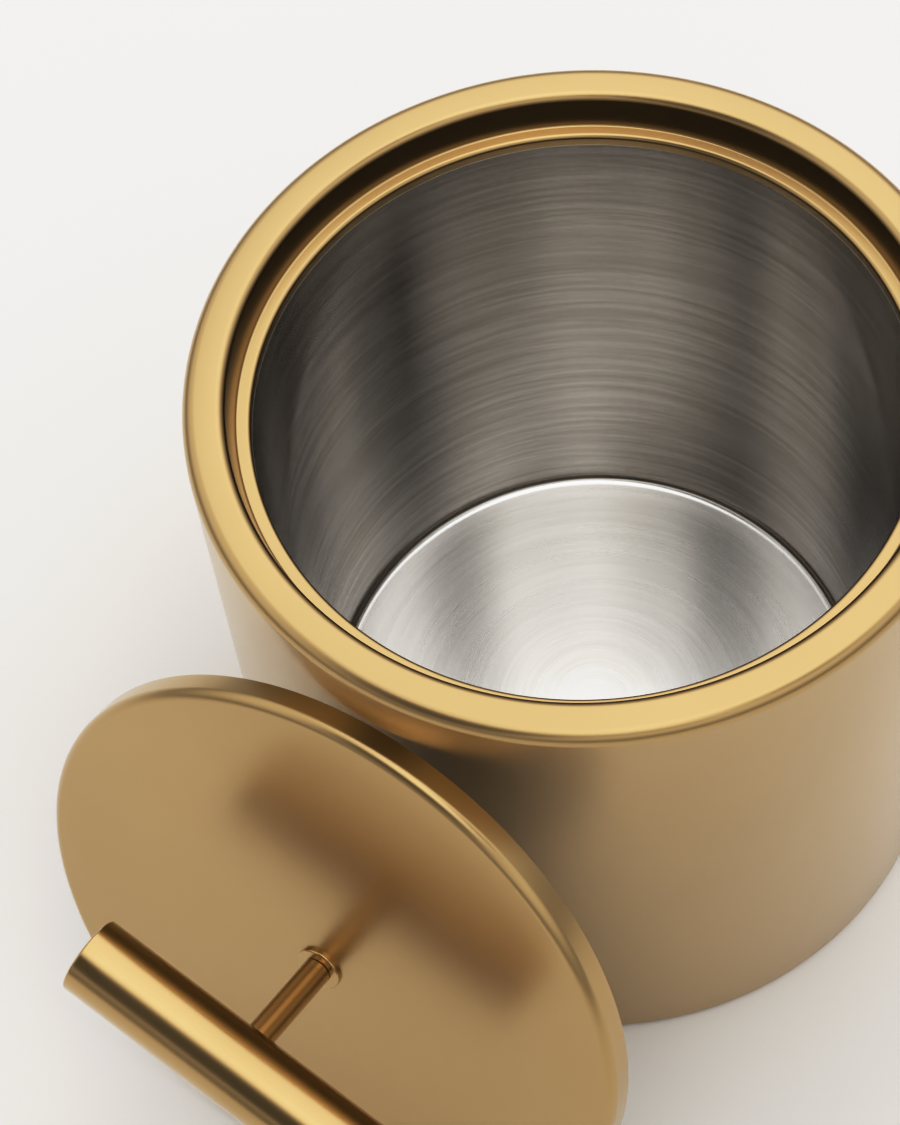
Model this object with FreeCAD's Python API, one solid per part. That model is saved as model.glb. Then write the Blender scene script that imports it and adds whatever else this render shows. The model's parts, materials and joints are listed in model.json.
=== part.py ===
"""Round double-walled tin with a loose lid: a gold outer shell, a steel liner and a T-handled lid.

Millimetres, +Z up. The origin is on the tin's axis, at the table that the tin stands on. The lid is
off: it stands on its lower edge at the -Y side and leans back against the wall.
"""

import FreeCAD, Part

import math
import os

from FreeCAD import Matrix, Vector

# ---- tin: outer shell ----
shell_radius = 75.0  # outside of the wall
tin_height = 136.5  # table to the top of the rim
shell_wall = 0.8
foot_round = 1.4  # bottom edge of the wall, seen from outside
foot_flange = 3.6  # the wall's foot is turned in by this much
foot_lift = 0.5  # the pad holds the wall this far off the table
shoulder_round = 2.6  # from the wall up to the rim
rim_width = 7.6  # from the wall's outside to the inner edge of the rim
rim_inner_round = 1.8  # from the rim down into the step
step_depth = 7.3  # top of the rim down to the ledge that carries the lid
step_taper = 1.85  # the step's wall closes in by this from top to foot
ledge_width = 2.8
ledge_round = 0.9  # inner edge of the ledge
lip_depth = 1.7  # the ledge's inner edge is turned down by this much

# ---- tin: liner, base and pad ----
liner_radius = 59.0  # inside of the liner at its foot; it widens a little towards its top
liner_wall = 0.6
liner_floor = 7.0  # table to the top of the liner's floor
liner_corner = 2.0  # inside, where the floor meets the wall
neck_step = 0.15  # from the lip's bore in to the top of the liner
liner_flange = 1.8  # the liner's flange laps the lip by this much
base_thickness = 1.0
base_fit = 0.1  # between the base plate's edge and the rounding of the wall's foot
pad_fit = 0.5  # between the pad's edge and the turned-in foot

# ---- lid ----
lid_fit = 0.6  # between the lid's edge and the foot of the step
lid_thickness = 5.8
lid_edge_round = 2.0
lid_wall = 0.7
pan_thickness = 0.8
pan_fit = 0.05  # between the pan or the core and the lid's side wall
pan_recess = 0.3  # the side wall stands past the pan by this much

# ---- handle ----
flange_radius = 4.8
flange_thickness = 0.9
post_radius = 2.9
bar_radius = 7.75
bar_length = 70.0
bar_height = 28.5  # the lid's face to the bar's axis
bar_edge = 0.5  # eased edge of the bar's flat ends
saddle_gap = 0.1  # the post's coped end stands off the bar by this
spigot_radius = 2.2  # the post's foot, which passes through the face
spigot_fit = 0.05
spigot_end_gap = 0.5  # keeps the spigot off the pan, so that the screw clamps the lid

# ---- screw under the lid ----
screw_radius = 1.25
screw_fit = 0.05
screw_grip = 7.0  # thread inside the spigot and post
screw_end_gap = 1.0  # blind end of the threaded hole
screw_head_radius = 2.6
screw_head_height = 1.5
washer_radius = 4.2
washer_thickness = 0.5
slot_width = 0.7
slot_depth = 0.7

# ---- where the lid stands ----
lean = 71.6  # degrees, the lid's face from the horizontal
bar_turn = 11.3  # degrees, the bar is turned by this much about the post
stand_off = 0.3  # air between the lid's edge and the wall it leans on

# ---- places worked out from the sizes above ----
rim_inner_radius = shell_radius - rim_width
step_foot_radius = rim_inner_radius - step_taper
shoulder_z = tin_height - shoulder_round  # top of the straight wall
ledge_z = tin_height - step_depth
ledge_radius = step_foot_radius - ledge_width
lip_z = ledge_z - ledge_round - lip_depth
base_z = foot_lift + shell_wall
lid_radius = step_foot_radius - lid_fit
pan_top = -lid_thickness + pan_recess + pan_thickness
spigot_end = pan_top + spigot_end_gap
pan_bottom = pan_top - pan_thickness
head_top = pan_bottom - washer_thickness

TOP = Vector(0, 0, 1)


def quarter(centre, radius, start, stop):
    """An arc about a centre (r, z), in degrees from +r: its start, its middle and its end."""
    angles = [start, (start + stop) / 2, stop]
    turns = [math.radians(angle) for angle in angles]
    return [(centre[0] + radius * math.cos(t), centre[1] + radius * math.sin(t)) for t in turns]


def profile(items):
    """A wire in the X-Z plane. A pair (r, z) is the next corner, and a list of three is an arc."""
    edges = []
    here = None
    for item in items:
        points = [item] if isinstance(item, tuple) else item
        points = [Vector(r, 0, z) for r, z in points]
        if here is not None and here.distanceToPoint(points[0]) > 1e-6:
            edges.append(Part.LineSegment(here, points[0]).toShape())
        if len(points) == 3:
            edges.append(Part.Arc(*points).toShape())
        here = points[-1]
    return Part.Wire(edges)


def off_upright(out, up, radius):
    """Degrees off upright of a line that touches a round, from its centre's place out and up."""
    return math.degrees(math.atan2(out, up) - math.asin(radius / math.hypot(out, up)))


def spun(face):
    """A face in the X-Z plane, revolved about the axis."""
    return face.revolve(Vector(0, 0, 0), TOP, 360)


def pressed(items, thickness):
    """Sheet of even thickness: the profile is its shown side, and the sheet lies to its left."""
    return spun(profile(items).makeOffset2D(thickness, 0, True, True, False).Faces[0])


def disc(radius, low, high, hole=0.0):
    """A flat round plate from one height to another, with a hole through it if one is asked for."""
    plate = Part.makeCylinder(radius, high - low, Vector(0, 0, low))
    if hole:
        plate = plate.cut(Part.makeCylinder(hole, high - low, Vector(0, 0, low)))
    return plate


# ---- the tin ----
def outer_shell():
    """Foot, wall, rounded rim, step, ledge and lip, pressed from one sheet."""
    foot = (shell_radius - foot_round, foot_lift + foot_round)
    shoulder = (shell_radius - shoulder_round, shoulder_z)
    inner = (rim_inner_radius + rim_inner_round, tin_height - rim_inner_round)
    slope = off_upright(inner[0] - step_foot_radius, inner[1] - ledge_z, rim_inner_round)
    lip = (ledge_radius + ledge_round, ledge_z - ledge_round)
    return pressed(
        [
            (foot[0] - foot_flange, foot_lift),
            quarter(foot, foot_round, -90, 0),
            quarter(shoulder, shoulder_round, 0, 90),
            quarter(inner, rim_inner_round, 90, 180 - slope),
            (step_foot_radius, ledge_z),
            quarter(lip, ledge_round, 90, 180),
            (ledge_radius, lip_z),
        ],
        shell_wall,
    )


def inner_liner():
    """Slightly tapered pot with a rounded floor corner and a flange under the lip."""
    neck_radius = ledge_radius - neck_step
    corner = (liner_radius - liner_corner, liner_floor + liner_corner)
    taper = off_upright(neck_radius - corner[0], lip_z - corner[1], liner_corner)
    return pressed(
        [
            (ledge_radius + liner_flange, lip_z),
            (neck_radius, lip_z),
            quarter(corner, liner_corner, -taper, -90),
            (0, liner_floor),
        ],
        liner_wall,
    )


def base_plate():
    """Round plate that lies on the wall's turned-in foot and closes the double wall."""
    return disc(shell_radius - foot_round - base_fit, base_z, base_z + base_thickness)


def foot_pad():
    """Non-slip disc under the base plate, which the tin stands on."""
    return disc(shell_radius - foot_round - foot_flange - pad_fit, 0, base_z)


# ---- the lid, about its own axis, with its face at height 0 ----
def lid_shell():
    """Pressed cap: the face, its small rounded edge and the side wall."""
    edge = (lid_radius - lid_edge_round, -lid_edge_round)
    return pressed(
        [
            (lid_radius, -lid_thickness),
            quarter(edge, lid_edge_round, 0, 90),
            (spigot_radius + spigot_fit, 0),
        ],
        lid_wall,
    )


def lid_core():
    """Light board that fills the lid and keeps the face flat."""
    radius = lid_radius - lid_edge_round - pan_fit
    return disc(radius, pan_top, -lid_wall, spigot_radius + spigot_fit)


def lid_pan():
    """Flat plate that closes the underside of the lid."""
    return disc(lid_radius - lid_wall - pan_fit, pan_bottom, pan_top, screw_radius + screw_fit)


def handle_flange():
    """Small round flange between the post and the face."""
    return disc(flange_radius, 0, flange_thickness, spigot_radius + spigot_fit)


def handle_post():
    """Slim turned post: coped round the bar at its top, with a tapped spigot at its foot."""
    post = disc(post_radius, flange_thickness, bar_height)
    post = post.fuse(disc(spigot_radius, spigot_end, flange_thickness))
    saddle_radius = bar_radius + saddle_gap
    along = Vector(-bar_length / 2, 0, bar_height)
    post = post.cut(Part.makeCylinder(saddle_radius, bar_length, along, Vector(1, 0, 0)))
    hole_top = spigot_end + screw_grip + screw_end_gap
    post = post.cut(disc(screw_radius + screw_fit, spigot_end, hole_top))
    return post.removeSplitter()


def handle_bar():
    """Thick plain cross bar with flat ends."""
    start = Vector(-bar_length / 2, 0, bar_height)
    bar = Part.makeCylinder(bar_radius, bar_length, start, Vector(1, 0, 0))
    ends = [edge for edge in bar.Edges if isinstance(edge.Curve, Part.Circle)]
    return bar.makeFillet(bar_edge, ends)


def screw_washer():
    """Plain washer between the screw's head and the pan."""
    return disc(washer_radius, head_top, pan_bottom, screw_radius + screw_fit)


def handle_screw():
    """Screw from under the lid into the post, with a slot across its head."""
    shank = disc(screw_radius, head_top, spigot_end + screw_grip)
    head = disc(screw_head_radius, head_top - screw_head_height, head_top)
    slot_length = 2 * screw_head_radius
    corner = Vector(-slot_length / 2, -slot_width / 2, head_top - screw_head_height)
    slot = Part.makeBox(slot_length, slot_width, slot_depth, corner)
    return head.cut(slot).fuse(shank).removeSplitter()


def leaning():
    """Carries the lid from its own axis to where it stands: turned, tipped back and set down.

    Its underside touches the wall with its upper edge, or meets the shoulder if the wall is lower.
    """
    angle = math.radians(lean)
    top_edge_z = 2 * lid_radius * math.sin(angle)
    touch_z = min(top_edge_z, shoulder_z)
    foot = shell_radius + stand_off + touch_z / math.tan(angle)
    reach = foot - lid_radius * math.cos(angle) + lid_thickness * math.sin(angle)
    height = lid_radius * math.sin(angle) + lid_thickness * math.cos(angle)
    place = Matrix()
    place.rotateZ(math.radians(-bar_turn))
    place.rotateX(angle)
    place.move(Vector(0, -reach, height))
    return place


tin = [outer_shell, inner_liner, base_plate, foot_pad]
lid = [lid_shell, lid_core, lid_pan, screw_washer, handle_screw, handle_flange, handle_post, handle_bar]

if __name__ == "__main__":
    os.makedirs("parts", exist_ok=True)
    for piece in tin:
        piece().exportStep("parts/" + piece.__name__ + ".step")
    for piece in lid:
        piece().transformed(leaning()).exportStep("parts/" + piece.__name__ + ".step")
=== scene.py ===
import json
import math

import bmesh
import bpy
from mathutils import Euler, Matrix, Vector


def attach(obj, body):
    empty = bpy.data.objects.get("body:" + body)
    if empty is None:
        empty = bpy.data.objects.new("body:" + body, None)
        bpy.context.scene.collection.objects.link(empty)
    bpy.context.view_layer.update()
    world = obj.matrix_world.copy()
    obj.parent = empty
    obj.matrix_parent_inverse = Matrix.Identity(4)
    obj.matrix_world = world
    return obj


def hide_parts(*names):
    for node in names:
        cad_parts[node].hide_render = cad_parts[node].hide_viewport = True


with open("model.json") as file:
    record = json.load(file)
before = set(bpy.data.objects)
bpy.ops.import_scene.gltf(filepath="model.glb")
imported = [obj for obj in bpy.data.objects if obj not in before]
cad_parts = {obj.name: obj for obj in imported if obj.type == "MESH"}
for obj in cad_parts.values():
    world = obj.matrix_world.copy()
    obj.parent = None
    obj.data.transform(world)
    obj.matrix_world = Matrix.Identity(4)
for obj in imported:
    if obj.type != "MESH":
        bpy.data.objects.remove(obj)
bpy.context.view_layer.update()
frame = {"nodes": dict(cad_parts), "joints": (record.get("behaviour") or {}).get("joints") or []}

scene = bpy.context.scene
mm = 0.001


# ---- outer shell ----
# The visible wall, the fat rounded rim and the stepped seat for the lid are one pressing of thin
# stainless steel. It is blasted to an even satin and then coated in gold. The foot is turned in,
# and the base plate lies on it.
shell_radius = 75 * mm
rim_top = 136.5 * mm
rim_inner_radius = 67.1 * mm
shoulder_round = 2.6 * mm
rim_inner_round = 1.9 * mm
step_foot_radius = 65.55 * mm
step_foot_round = 0.5 * mm
ledge_height = 129.2 * mm
ledge_radius = 62.75 * mm
ledge_round = 0.9 * mm
lip_height = 126.6 * mm
foot_radius = 70 * mm
foot_height = 0.5 * mm
foot_round = 1.4 * mm
shell_wall = 0.8 * mm
gold_deep = (0.475, 0.345, 0.172)
gold_pale = (0.505, 0.368, 0.186)
gold_cloud = 14  # how many patches to the metre, here and for every grain below
sheen_cloud = 30
coat_speck = 2600
blast_pits = 2200
pit_depth = 0.0015 * mm
crease = math.radians(32)  # edges sharper than this aren't shaded smooth


def bent(corners, degrees=7.5):
    """A line through corners (radius, height), rounded where a corner has a third number."""
    line = []
    for i, corner in enumerate(corners):
        here = Vector(corner[:2])
        if len(corner) == 2:
            line.append(here)
            continue
        back = (Vector(corners[i - 1][:2]) - here).normalized()
        ahead = (Vector(corners[i + 1][:2]) - here).normalized()
        half = back.angle(ahead) / 2
        middle = here + (back + ahead).normalized() * corner[2] / math.sin(half)
        first = here + back * corner[2] / math.tan(half) - middle
        turn = first.angle_signed(here + ahead * corner[2] / math.tan(half) - middle)
        steps = max(3, round(abs(math.degrees(turn)) / degrees))
        for k in range(steps + 1):
            line.append(middle + Matrix.Rotation(-turn * k / steps, 2) @ first)
    return line


def sheet(shown, thickness):
    """The closed outline of a sheet: its shown side, and then its hidden side on the left of it."""
    hidden = []
    for i, here in enumerate(shown):
        before = here - shown[i - 1] if i else shown[1] - here
        after = shown[i + 1] - here if i + 1 < len(shown) else before
        before, after = before.normalized(), after.normalized()
        left = Vector((-before.y - after.y, before.x + after.x)).normalized()
        hidden.append(here + left * thickness / max(0.5, left.dot(Vector((-after.y, after.x)))))
    return shown + hidden[::-1]


def turned(name, outline, around=256):
    """A piece made by spinning a closed outline about the axis."""
    mesh = bmesh.new()
    rings = []
    for radius, height in outline:
        if radius < 1e-7:
            rings.append([mesh.verts.new((0, 0, height))])
            continue
        turns = [math.tau * k / around for k in range(around)]
        points = [(radius * math.cos(turn), radius * math.sin(turn), height) for turn in turns]
        rings.append([mesh.verts.new(point) for point in points])
    for near, far in zip(rings, rings[1:] + rings[:1]):
        for k in range(around):
            corners = [near[k % len(near)], near[(k + 1) % len(near)]]
            corners += [far[(k + 1) % len(far)], far[k % len(far)]]
            corners = list(dict.fromkeys(corners))
            if len(corners) > 2:
                mesh.faces.new(corners)
    bmesh.ops.recalc_face_normals(mesh, faces=mesh.faces)
    data = bpy.data.meshes.new(name)
    mesh.to_mesh(data)
    mesh.free()
    data.shade_smooth()
    data.set_sharp_from_angle(angle=crease)
    piece = bpy.data.objects.new(name, data)
    scene.collection.objects.link(piece)
    return piece


class Wire:
    """A socket in a node tree. Sums on it add Math nodes, and node() adds any other node."""

    def __init__(self, tree, socket=None):
        self.tree, self.socket = tree, socket

    def node(self, kind, settings=None, inputs=None, output=0):
        made = self.tree.nodes.new("ShaderNode" + kind)
        for name, value in (settings or {}).items():
            setattr(made, name, value)
        for name, value in (inputs or {}).items():
            self.feed(made.inputs[name], value)
        return Wire(self.tree, made.outputs[output])

    def feed(self, socket, value):
        if isinstance(value, Wire):
            self.tree.links.new(value.socket, socket)
        else:
            socket.default_value = value

    def sum(self, operation, *values):
        return self.node("Math", {"operation": operation}, dict(enumerate(values)))

    def __add__(self, other):
        return self.sum("ADD", self, other)

    def __rsub__(self, other):
        return self.sum("SUBTRACT", other, self)

    def __mul__(self, other):
        return self.sum("MULTIPLY", self, other)

    def __truediv__(self, other):
        return self.sum("DIVIDE", self, other)

    def __pow__(self, other):
        return self.sum("POWER", self, other)

    __radd__ = __add__
    __rmul__ = __mul__

    def between(self, low, high):
        """0 below low, 1 above high, and a smooth rise from one to the other."""
        settings = {"interpolation_type": "SMOOTHSTEP"}
        return self.node("MapRange", settings, {"Value": self, "From Min": low, "From Max": high})

    def tint(self, low, high):
        """Goes from one colour to another as this goes from 0 to 1."""
        settings = {"data_type": "RGBA"}
        return self.node("Mix", settings, {0: self, 6: (*low, 1), 7: (*high, 1)}, output=2)

    def noise(self, point, scale, detail=2.0, roughness=0.5):
        inputs = {"Vector": point, "Scale": scale, "Detail": detail, "Roughness": roughness}
        return self.node("TexNoise", None, inputs)


def material(name, metallic, colour, roughness, bump, bump_height, **fixed):
    """A material from what varies over its surface and, in `fixed`, from plain numbers."""
    made = bpy.data.materials.new(name)
    made.use_nodes = True
    shader = made.node_tree.nodes["Principled BSDF"]
    wire = Wire(made.node_tree)
    point = wire.node("TexCoord", output="Object")
    wire.feed(shader.inputs["Base Color"], colour(wire, point))
    wire.feed(shader.inputs["Roughness"], roughness(wire, point))
    shader.inputs["Metallic"].default_value = metallic
    inputs = {"Height": bump(wire, point), "Strength": 1.0, "Distance": bump_height}
    wire.feed(shader.inputs["Normal"], wire.node("Bump", None, inputs))
    for socket, value in fixed.items():
        shader.inputs[socket.replace("_", " ")].default_value = value
    return made


def finish(piece, coat, slot, body, *nodes):
    """Coats a piece, hangs it under the body that it moves with, and hides the CAD nodes that it
    replaces.
    """
    piece.data.materials.clear()
    piece.data.materials.append(coat)
    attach(piece, body)
    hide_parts(*nodes)


def radius_of(wire, point):
    """Distance from the piece's own axis."""
    x = wire.node("SeparateXYZ", None, {0: point}, output=0)
    y = wire.node("SeparateXYZ", None, {0: point}, output=1)
    return (x * x + y * y) ** 0.5


def height_of(wire, point):
    """Distance along the piece's own axis."""
    return wire.node("SeparateXYZ", None, {0: point}, output=2)


def gold_colour(wire, point):
    """Even gold with a faint cloud in it."""
    return wire.noise(point, gold_cloud, 3).between(0.3, 0.7).tint(gold_deep, gold_pale)


def gold_roughness(wire, point):
    cloud = wire.noise(point, sheen_cloud, 4)
    speck = wire.noise(point, coat_speck, 1)
    return 0.27 + 0.05 * cloud + 0.02 * speck


def blasted(wire, point):
    """The fine pits that blasting leaves under the coating."""
    return wire.noise(point, blast_pits, 2, 0.6)


satin_gold = material(
    "satin_gold", 1, gold_colour, gold_roughness, blasted, pit_depth,
    Coat_Weight=1.0, Coat_Roughness=0.3,
)

outer_shell = turned("gold_shell", sheet(bent([
    (foot_radius, foot_height),
    (shell_radius, foot_height, foot_round),
    (shell_radius, rim_top, shoulder_round),
    (rim_inner_radius, rim_top, rim_inner_round),
    (step_foot_radius, ledge_height, step_foot_round),
    (ledge_radius, ledge_height, ledge_round),
    (ledge_radius, lip_height),
]), shell_wall))
finish(outer_shell, satin_gold, "gold_steel", "tin", "outer_shell")


# ---- inner liner ----
# A deep pot of plain stainless steel, spun and then brushed round and round with a coarse pad.
# It widens a little towards its top, where a flange joins it to the lip of the shell. The floor
# is the same steel as the wall, but it is given a much paler colour: painted light on the floor.
liner_foot_radius = 58.94 * mm
liner_floor = 7 * mm
liner_corner = 2 * mm
neck_radius = 62.7 * mm
neck_round = 0.1 * mm
flange_reach = 64.55 * mm
liner_wall = 0.6 * mm
brush_pitch = 0.9 * mm  # from one brush mark to the next
brush_length = 45 * mm
wall_brush_depth = 0.014 * mm
floor_brush_depth = 0.006 * mm
wall_dark = (0.44, 0.415, 0.385)
wall_light = (0.55, 0.53, 0.505)
# Painted light: the floor's colours are far paler than the wall's, a lit copy of the same steel.
painted_lit_floor_dark = (0.84, 0.84, 0.83)
painted_lit_floor_light = (0.90, 0.90, 0.895)


def brush_marks(wire, point, pitch, length):
    """Fine lines that run round the axis, on the wall and on the floor alike."""
    across = radius_of(wire, point) + height_of(wire, point)
    x = wire.node("SeparateXYZ", None, {0: point}, output=0)
    y = wire.node("SeparateXYZ", None, {0: point}, output=1)
    inputs = {"X": x / length, "Y": y / length, "Z": across / pitch}
    return wire.noise(wire.node("CombineXYZ", None, inputs), 1, 4, 0.65)


def steel_colour(wire, point):
    marks = brush_marks(wire, point, brush_pitch * 2, brush_length)
    return marks.between(0.3, 0.7).tint(wall_dark, wall_light)


def steel_roughness(wire, point):
    return 0.10 + 0.14 * brush_marks(wire, point, brush_pitch, brush_length)


def steel_brushing(wire, point):
    return brush_marks(wire, point, brush_pitch, brush_length)


brushed_steel = material(
    "brushed_steel", 1, steel_colour, steel_roughness, steel_brushing, wall_brush_depth,
    Anisotropic=0.6, Anisotropic_Rotation=0.25,
)


# Painted light: the floor's brush marks on a much paler base than the wall's steel.
def painted_light_floor_colour(wire, point):
    marks = brush_marks(wire, point, brush_pitch * 2, brush_length)
    return marks.between(0.3, 0.7).tint(painted_lit_floor_dark, painted_lit_floor_light)


def bright_steel_roughness(wire, point):
    return 0.21 + 0.10 * brush_marks(wire, point, brush_pitch, brush_length)


# The floor's material: a copy of the wall's steel with a paler, painted-light colour.
painted_light_floor_steel = material(
    "painted_light_floor_steel", 1, painted_light_floor_colour, bright_steel_roughness, steel_brushing,
    floor_brush_depth, Anisotropic=0.1, Anisotropic_Rotation=0.25,
)


def across_face(radius, height, count=8):
    """Points spaced evenly along a flat face, from near its edge to near its middle."""
    return [(radius * k / count, height) for k in range(count - 1, 0, -1)]


inner_liner = turned("steel_liner", sheet(bent([
    (flange_reach, lip_height),
    (neck_radius, lip_height, neck_round),
    (liner_foot_radius, liner_floor, liner_corner),
    *across_face(liner_foot_radius, liner_floor),
    (0, liner_floor),
]), liner_wall))
finish(inner_liner, brushed_steel, "liner_steel", "tin", "inner_liner")
inner_liner.data.materials.append(painted_light_floor_steel)
# The floor faces take the painted-light copy of the steel.
for face in inner_liner.data.polygons:
    face.material_index = int(face.center.z < liner_floor + liner_corner / 4)


# ---- base plate and pad ----
# A flat steel plate is pressed into the turned-in foot and closes the double wall. A soft dark
# pad is stuck under it, so that the tin stands quietly on a table and doesn't slip.
pad_radius = 69.5 * mm
pad_top = 1.3 * mm
pad_edge = 0.4 * mm
pad_groove = 0.25 * mm  # depth of the rings between the ridges
ridge_radii = [12 * mm, 26 * mm, 40 * mm, 54 * mm]
ridge_width = 6 * mm
rubber_dark = (0.018, 0.018, 0.019)
rubber_light = (0.03, 0.03, 0.031)


def rubber_colour(wire, point):
    return wire.noise(point, 60, 5).between(0.3, 0.7).tint(rubber_dark, rubber_light)


def rubber_roughness(wire, point):
    return 0.62 + 0.2 * wire.noise(point, 300, 3)


def rubber_grain(wire, point):
    return wire.noise(point, 1400, 3)


rubber = material("soft_pad", 0, rubber_colour, rubber_roughness, rubber_grain, 0.05 * mm)
pad_line = [(0, pad_groove)]
for ridge in ridge_radii:
    pad_line += [(ridge - 2 * pad_groove, pad_groove), (ridge - pad_groove, 0)]
    pad_line += [(ridge + ridge_width, 0), (ridge + ridge_width + pad_groove, pad_groove)]
foot_pad = turned("non_slip_pad", bent(pad_line + [
    (pad_radius - ridge_width, 0),
    (pad_radius, 0, pad_edge),
    (pad_radius, pad_top, pad_edge),
    (0, pad_top),
]))
finish(foot_pad, rubber, "pad", "tin", "foot_pad")

raw_steel = material("raw_steel", 1, steel_colour, steel_roughness, steel_brushing, 0.01 * mm)
frame["nodes"]["base_plate"].data.materials[0] = raw_steel


# ---- lid ----
# A shallow cap pressed from the same gold-coated steel, with a small rounded edge. A light board
# fills it and keeps the face flat, and a steel plate closes its underside. The lid is off the tin:
# it stands on its edge and leans back against the wall.
lid_radius = 64.95 * mm
lid_depth = 5.8 * mm
lid_edge = 2 * mm
lid_wall = 0.7 * mm
lid_hole = 2.25 * mm
bar_height = 28.5 * mm  # the lid's face to the bar's axis

turn_joint = next(joint for joint in frame["joints"] if joint["name"] == "lid_level")
bar_axis = Vector(turn_joint["axis"]).normalized()
lid_normal = Vector((0, -bar_axis.z, bar_axis.y)).normalized()
lid_place = Matrix((-bar_axis, lid_normal.cross(-bar_axis), lid_normal)).transposed().to_4x4()
lid_place.translation = Vector(turn_joint["pos_m"]) - lid_normal * bar_height

lid_shell = turned("gold_lid", sheet(bent([
    (lid_radius, -lid_depth),
    (lid_radius, 0, lid_edge),
    *across_face(lid_radius, 0),
    (lid_hole, 0),
]), lid_wall))
lid_shell.matrix_world = lid_place
finish(lid_shell, satin_gold, "gold_steel", "lid", "lid_shell")


# ---- board and pan inside the lid ----
# The board is pressed grey-brown fibre, cut to a disc and never seen. The pan is a thin disc of
# plain steel, let into the open side of the cap so that its edge stands just inside the wall.
pan_radius = 64.2 * mm
pan_low = -5.5 * mm
pan_high = -4.7 * mm
pan_hole = 1.3 * mm
pan_edge = 0.25 * mm
board_dark = (0.20, 0.15, 0.10)
board_light = (0.33, 0.26, 0.19)


def board_colour(wire, point):
    return wire.noise(point, 350, 5, 0.7).between(0.3, 0.7).tint(board_dark, board_light)


def board_roughness(wire, point):
    return 0.8 + 0.15 * wire.noise(point, 500, 3)


def board_fibres(wire, point):
    return wire.noise(point, 900, 4, 0.7)


board = material("fibre_board", 0, board_colour, board_roughness, board_fibres, 0.1 * mm)
frame["nodes"]["lid_core"].data.materials[0] = board

lid_pan = turned("lid_underside", bent([
    (pan_hole, pan_high),
    *reversed(across_face(pan_radius, pan_high)),
    (pan_radius, pan_high, pan_edge),
    (pan_radius, pan_low, pan_edge),
    *across_face(pan_radius, pan_low),
    (pan_hole, pan_low),
]))
lid_pan.matrix_world = lid_place
finish(lid_pan, brushed_steel, "liner_steel", "lid", "lid_pan")


# ---- handle: flange and post ----
# A small turned flange sits on the face, and a slim turned post stands on it. The post's top is
# hollowed to the bar's curve and soldered to it. All three are coated in gold with the lid, and
# they stay a little brighter than the blasted face.
flange_radius = 4.8 * mm
flange_height = 0.9 * mm
flange_round = 0.35 * mm
spigot_radius = 2.2 * mm
post_radius = 2.9 * mm
post_foot_round = 0.25 * mm
bar_radius = 7.75 * mm
saddle_gap = 0.1 * mm
spigot_low = -4.2 * mm
thread_radius = 1.3 * mm
thread_high = 3.8 * mm
turning_pitch = 0.12 * mm
turning_depth = 0.0015 * mm
handle_deep = (0.475, 0.340, 0.165)
handle_pale = (0.505, 0.362, 0.178)


def handle_colour(wire, point):
    return wire.noise(point, 40, 3).between(0.3, 0.7).tint(handle_deep, handle_pale)


def handle_roughness(wire, point):
    return 0.20 + 0.05 * wire.noise(point, 90, 3) + 0.04 * wire.noise(point, 3000, 1)


def turning_marks(wire, point):
    """What the lathe leaves: fine rings, with the blasted grain over them."""
    rings = brush_marks(wire, point, turning_pitch, brush_length)
    return rings * 0.6 + 0.4 * wire.noise(point, 2600, 2)


handle_gold = material(
    "handle_gold", 1, handle_colour, handle_roughness, turning_marks, turning_depth,
    Coat_Weight=1.0, Coat_Roughness=0.2,
)
flange = turned("post_flange", bent([
    (spigot_radius, 0),
    (flange_radius, 0),
    (flange_radius, flange_height, flange_round),
    (spigot_radius, flange_height),
]), 96)
flange.matrix_world = lid_place
finish(flange, handle_gold, "gold_handle", "lid", "handle_flange")

post_top = bar_height - bar_radius - saddle_gap
post = turned("lid_post", bent([
    (0, post_top),
    *reversed(across_face(post_radius, post_top, 6)),
    (post_radius, post_top),
    (post_radius, flange_height + 4 * mm),
    (post_radius, flange_height, post_foot_round),
    (spigot_radius, flange_height),
    (spigot_radius, spigot_low, post_foot_round),
    (thread_radius, spigot_low),
    (thread_radius, thread_high),
    (0, thread_high),
]), 96)
for vertex in post.data.vertices:
    if vertex.co.z > post_top - post_foot_round:
        saddle = (bar_radius + saddle_gap) ** 2 - vertex.co.y ** 2
        vertex.co.z = bar_height - math.sqrt(saddle)
post.matrix_world = lid_place
finish(post, handle_gold, "gold_handle", "lid", "handle_post")


# ---- handle: bar ----
# A plain thick cross bar, turned from solid rod with flat ends and just enough of an edge broken
# not to be sharp. It is soldered to the post and turned a little out of level.
bar_half = 35 * mm
bar_edge = 0.5 * mm
bar = turned("cross_bar", bent([
    (0, -bar_half),
    (bar_radius / 2, -bar_half),
    (bar_radius, -bar_half, bar_edge),
    *[(bar_radius, bar_half * k / 6) for k in range(-5, 6)],
    (bar_radius, bar_half, bar_edge),
    (bar_radius / 2, bar_half),
    (0, bar_half),
]), 192)
lengthwise = Matrix.Rotation(math.radians(90), 4, "Y")
bar.matrix_world = lid_place @ Matrix.Translation((0, 0, bar_height)) @ lengthwise
finish(bar, handle_gold, "gold_handle", "bar", "handle_bar")


# ---- screw and washer ----
# One slotted steel screw comes up through a plain washer and the pan into the post, and clamps
# the whole lid together. Both are zinc plated.
washer_radius = 4.2 * mm
washer_low = -6.0 * mm
washer_edge = 0.15 * mm
head_radius = 2.6 * mm
head_low = -7.5 * mm
head_round = 0.5 * mm
shank_radius = 1.25 * mm
shank_high = 2.8 * mm
slot_half = 0.35 * mm
slot_depth = 0.7 * mm
zinc_dark = (0.56, 0.57, 0.58)
zinc_light = (0.70, 0.71, 0.71)


def zinc_colour(wire, point):
    return wire.noise(point, 700, 4).between(0.3, 0.7).tint(zinc_dark, zinc_light)


def zinc_roughness(wire, point):
    return 0.28 + 0.2 * wire.noise(point, 900, 3)


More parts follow.
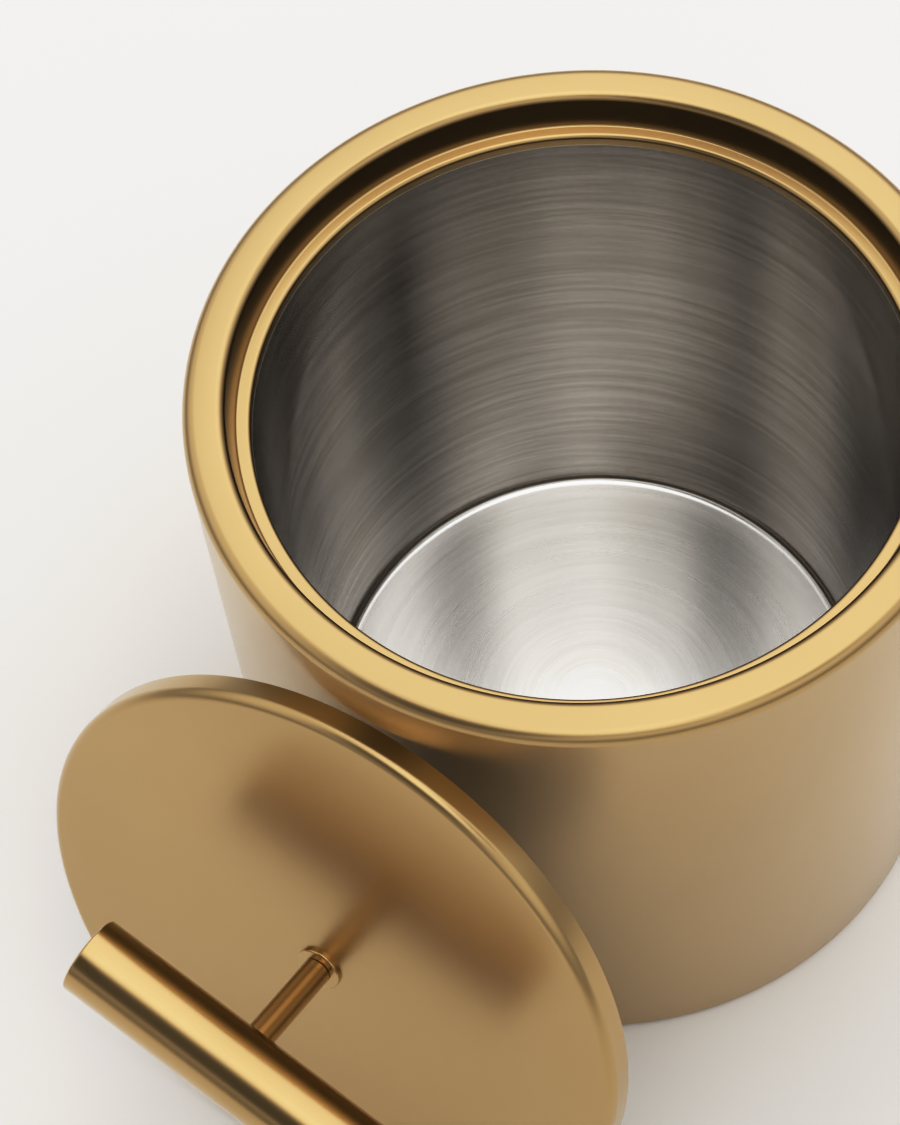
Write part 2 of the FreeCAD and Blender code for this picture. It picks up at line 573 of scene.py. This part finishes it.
zinc = material("zinc_plate", 1, zinc_colour, zinc_roughness, turning_marks, 0.01 * mm)
washer = turned("plain_washer", bent([
    (thread_radius, washer_low),
    (washer_radius, washer_low, washer_edge),
    (washer_radius, pan_low, washer_edge),
    (thread_radius, pan_low),
]), 96)
washer.matrix_world = lid_place
finish(washer, zinc, "screw_steel", "lid", "screw_washer")

screw = turned("slotted_screw", bent([
    (0, head_low),
    (head_radius, head_low, head_round),
    (head_radius, washer_low),
    (shank_radius, washer_low),
    (shank_radius, shank_high, post_foot_round),
    (0, shank_high),
]), 96)
cutter = bpy.data.meshes.new("slot_cutter")
knife = bmesh.new()
bmesh.ops.create_cube(knife, size=2)
bmesh.ops.scale(knife, vec=(2 * head_radius, slot_half, slot_depth), verts=knife.verts)
bmesh.ops.translate(knife, vec=(0, 0, head_low), verts=knife.verts)
knife.to_mesh(cutter)
knife.free()
cutter = bpy.data.objects.new("slot_cutter", cutter)
scene.collection.objects.link(cutter)
cut = screw.modifiers.new("slot", "BOOLEAN")
cut.operation, cut.object, cut.solver = "DIFFERENCE", cutter, "EXACT"
bpy.context.view_layer.update()
built = screw.evaluated_get(bpy.context.evaluated_depsgraph_get())
slotted = bpy.data.meshes.new_from_object(built)
screw.modifiers.clear()
screw.data = slotted
bpy.data.objects.remove(cutter)
slotted.set_sharp_from_angle(angle=crease)
screw.matrix_world = lid_place
finish(screw, zinc, "screw_steel", "lid", "handle_screw")


# ---- studio: floor, light and camera ----
# White paper lies under everything. One broad soft box hangs behind the tin and above it, and a
# pale room lies all round, with a few darker parts that show as streaks in the steel.
floor_half = 4.0
paper_dark = (0.92, 0.905, 0.89)
paper_light = (0.935, 0.92, 0.905)
floor_mesh = bpy.data.meshes.new("paper_floor")
floor_mesh.from_pydata(
    [(-floor_half, -floor_half, 0), (floor_half, -floor_half, 0),
     (floor_half, floor_half, 0), (-floor_half, floor_half, 0)], [], [(0, 1, 2, 3)])
floor = bpy.data.objects.new("paper_floor", floor_mesh)
scene.collection.objects.link(floor)


def paper_colour(wire, point):
    return wire.noise(point, 3, 3).between(0.2, 0.8).tint(paper_dark, paper_light)


def paper_roughness(wire, point):
    return 0.75 + 0.1 * wire.noise(point, 20, 2)


def paper_grain(wire, point):
    return wire.noise(point, 700, 3)


paper = material("white_paper", 0, paper_colour, paper_roughness, paper_grain, 0.02 * mm)
floor_mesh.materials.append(paper)

room = bpy.data.worlds.new("dim_room")
room.use_nodes = True
scene.world = room
sky = Wire(room.node_tree)
room_low = 0.4  # how bright the room is near the floor
room_high = 1.15  # and overhead
room_seen = 0.95  # as the camera itself sees it
# For each paler or darker part of the room: azimuth from +X towards +Y and elevation, then how
# far from there it is full and where it ends, all in degrees, and how much light it adds.
room_parts = [
    (-57, 78, 8, 26, 0.85),
    (-95, 45, 14, 27, -0.95),
    (-125, 62, 3, 13, -0.8),
    (8, 62, 3, 13, -0.9),
    (-40, 50, 3, 11, -0.6),
]
ray = sky.node("TexCoord", output=0)
up = sky.node("SeparateXYZ", None, {0: ray}, output=2)
light = room_low + up.between(0.1, 0.6) * (room_high - room_low)
for azimuth, elevation, inner, outer, change in room_parts:
    flat = math.cos(math.radians(elevation))
    aim = (flat * math.cos(math.radians(azimuth)), flat * math.sin(math.radians(azimuth)),
           math.sin(math.radians(elevation)))
    near = sky.node("VectorMath", {"operation": "DOT_PRODUCT"}, {0: ray, 1: aim}, output=1)
    inner, outer = math.cos(math.radians(inner)), math.cos(math.radians(outer))
    light = light + near.between(outer, inner) * change
seen = sky.node("LightPath", output=0)
backdrop = room.node_tree.nodes["Background"]
backdrop.inputs["Color"].default_value = (1.0, 0.99, 0.975, 1)
sky.feed(backdrop.inputs["Strength"], light + seen * (room_seen - light))


def soft_box(name, place, aim, width, length, power):
    """A rectangular soft box at a place, turned to face a point."""
    light = bpy.data.lights.new(name, "AREA")
    light.shape, light.size, light.size_y, light.energy = "RECTANGLE", width, length, power
    box = bpy.data.objects.new(name, light)
    box.location = place
    box.rotation_euler = (Vector(place) - Vector(aim)).to_track_quat("Z", "Y").to_euler()
    scene.collection.objects.link(box)


soft_box("top_box", place=(-0.15, 0.65, 1.4), aim=(0, 0, 0.1), width=1.3, length=1.3, power=3.2)

camera_place = (0.16036, -0.24505, 0.57171)
camera_turn = (30.2525, 3.6786, 32.5387)  # degrees
camera_data = bpy.data.cameras.new("camera")
camera_data.lens = 90.37
camera_data.sensor_width = 36
camera = bpy.data.objects.new("camera", camera_data)
camera.location = camera_place
camera.rotation_euler = Euler([math.radians(turn) for turn in camera_turn])
scene.collection.objects.link(camera)
bpy.context.scene.camera = camera

# A print's tone: deeper shadows, and highlights that roll off before they burn out.
tone = [(0, 0), (0.05, 0.015), (0.1, 0.037), (0.18, 0.083), (0.3, 0.185), (0.45, 0.355),
        (0.6, 0.54), (0.75, 0.70), (0.95, 0.87), (1.3, 0.95), (1.8, 1)]
view = scene.view_settings
view.view_transform = "Standard"
view.use_curve_mapping = True
view.curve_mapping.white_level = (tone[-1][0],) * 3
curve = view.curve_mapping.curves[3]
for low, high in tone[1:-1]:
    curve.points.new(low / tone[-1][0], high)
view.curve_mapping.update()
